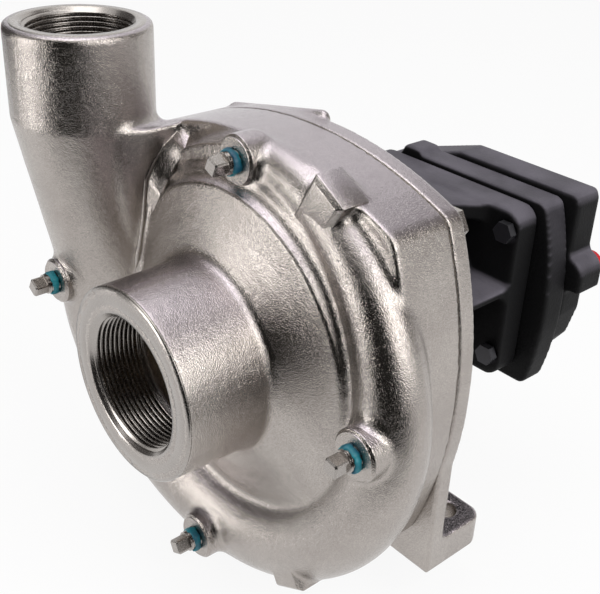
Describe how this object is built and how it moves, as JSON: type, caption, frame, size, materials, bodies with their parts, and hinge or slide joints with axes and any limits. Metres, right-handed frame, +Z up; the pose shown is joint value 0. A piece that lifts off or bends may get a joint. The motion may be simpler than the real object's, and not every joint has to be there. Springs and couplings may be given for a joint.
{
  "type": "centrifugal pump with hydraulic motor",
  "caption": "Close-coupled centrifugal pump: cast scroll casing with threaded inlet and upright outlet, footed mounting flange, closed impeller, shaft seal and a hydraulic gerotor motor.",
  "frame": {"origin": "midway between the two foot bolts, on the soles of the feet", "axes": "+Z up, square to the soles, the way the outlet faces; -Y along the shaft, the way the inlet faces; +X across the feet, to the right seen from the inlet"},
  "size_m": [0.2341, 0.233, 0.2443],
  "materials": {
    "cast_stainless": "bead-blasted cast stainless, satin, with smoother machined faces",
    "bright_steel": "machined stainless",
    "thread_sealant": "dried paste",
    "black_rubber": "matt",
    "tan_impeller": "moulded glass-filled plastic, satin",
    "white_ceramic": "lapped ceramic",
    "carbon": "lapped carbon",
    "black_paint": "satin black over cast iron",
    "dark_steel": "black oxide",
    "bearing_steel": "ground and polished",
    "bronze": "sintered bronze",
    "rotor_steel": "ground powder metal",
    "red_plastic": "soft moulded plastic"
  },
  "bodies": {
    "pump": {"volute_casing": "cast_stainless", "drain_plugs": "bright_steel", "sealant_bands": "thread_sealant", "casing_ring": "black_rubber", "mounting_flange": "cast_stainless", "casing_screws": "bright_steel", "seal_seat": "white_ceramic", "seal_cup": "black_rubber", "motor_bracket": "black_paint", "bracket_screws": "dark_steel", "lip_seal": "black_rubber", "bearing_outer_race": "bearing_steel", "retaining_ring": "dark_steel", "gerotor_plate": "black_paint", "motor_rings": "black_rubber", "rear_cover": "black_paint", "shaft_bush": "bronze", "through_bolts": "dark_steel", "port_plugs": "red_plastic"},
    "rotor": {"motor_shaft": "bright_steel", "impeller": "tan_impeller", "impeller_washer": "bright_steel", "impeller_nut": "bright_steel", "impeller_key": "bright_steel", "seal_carbon": "carbon", "seal_bellows": "black_rubber", "seal_band": "bright_steel", "seal_spring": "bright_steel", "slinger": "black_rubber", "bearing_inner_race": "bearing_steel", "gerotor_key": "dark_steel", "gerotor_inner": "rotor_steel"},
    "outer_rotor": {"gerotor_outer": "rotor_steel"},
    "ball_set": {"bearing_balls": "bearing_steel", "bearing_cage": "bronze"}
  },
  "joints": [
    {"name": "shaft_spin", "type": "hinge", "parent": "pump", "child": "rotor", "pos_m": [0, 0, 0.09525], "axis": [0, 1, 0], "continuous": true},
    {"name": "outer_rotor_spin", "type": "hinge", "parent": "pump", "child": "outer_rotor", "pos_m": [0, 0, 0.09785], "axis": [0, 1, 0], "continuous": true},
    {"name": "ball_set_spin", "type": "hinge", "parent": "pump", "child": "ball_set", "pos_m": [0, 0, 0.09525], "axis": [0, 1, 0], "continuous": true}
  ],
  "couplings": [
    {"joint": "outer_rotor_spin", "follows": "shaft_spin", "ratio": 0.85714},
    {"joint": "ball_set_spin", "follows": "shaft_spin", "ratio": 0.38947}
  ]
}
